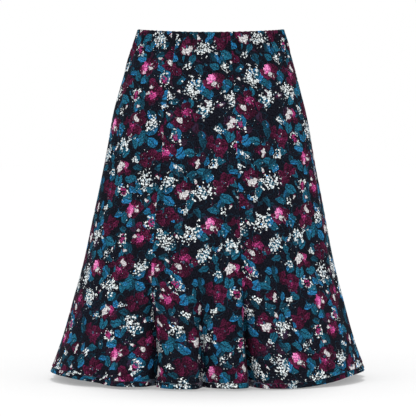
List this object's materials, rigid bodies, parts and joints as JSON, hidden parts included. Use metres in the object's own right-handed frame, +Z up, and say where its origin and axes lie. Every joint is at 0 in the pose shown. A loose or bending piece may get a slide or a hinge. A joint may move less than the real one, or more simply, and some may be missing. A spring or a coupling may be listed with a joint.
{
  "type": "a-line skirt",
  "caption": "Knee-length pull-on A-line skirt of shaped gores with a gathered elastic casing at the waist, a flared turned hem and a dark floral print, filled out with no wearer.",
  "frame": {"origin": "centre of the waist opening, level with the top edge at the sides", "axes": "+Z up through the waist opening, the front of the skirt faces -Y, the wearer's left side is at +X"},
  "size_m": [0.5681, 0.4365, 0.6268],
  "materials": {
    "printed_crepe": "matt crepe with a floral print"
  },
  "bodies": {
    "root": {"gore_centre_front": "printed_crepe", "gore_side_front_left": "printed_crepe", "gore_side_back_left": "printed_crepe", "gore_centre_back_left": "printed_crepe", "gore_centre_back_right": "printed_crepe", "gore_side_back_right": "printed_crepe", "gore_side_front_right": "printed_crepe"}
  },
  "joints": []
}
